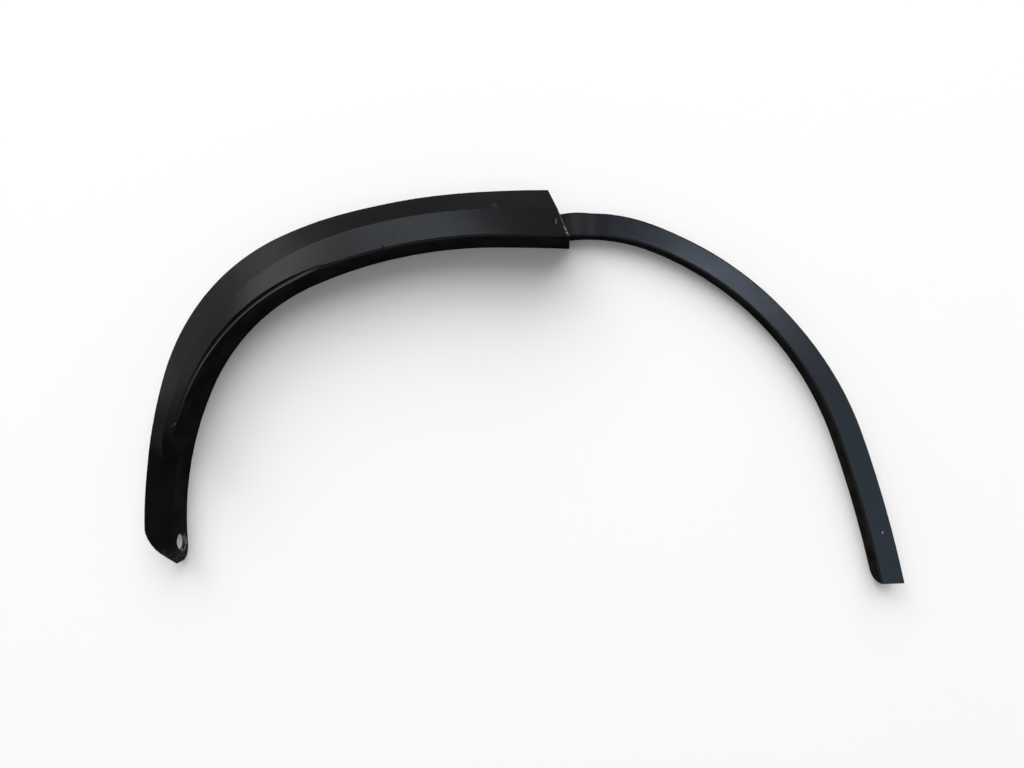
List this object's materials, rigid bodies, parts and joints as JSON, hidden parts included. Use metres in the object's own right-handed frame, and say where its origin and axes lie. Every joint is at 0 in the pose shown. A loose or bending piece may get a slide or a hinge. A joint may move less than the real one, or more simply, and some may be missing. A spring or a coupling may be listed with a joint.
{
  "type": "wheel arch trim",
  "caption": "Wheel arch trim in satin black plastic: a wide flared half with a hooked tongue and a hole, and a narrow band.",
  "frame": {"origin": "centre of the bounding box in plan, at the level of the back edge", "axes": "+X along the car, from the flare's tongue to the band's end; +Y up the car's side; +Z away from the car's side"},
  "size_m": [0.888, 0.4598, 0.0733],
  "materials": {
    "black_plastic": "satin, finely grained"
  },
  "bodies": {
    "root": {"wheel_arch_trim": "black_plastic"}
  },
  "joints": []
}
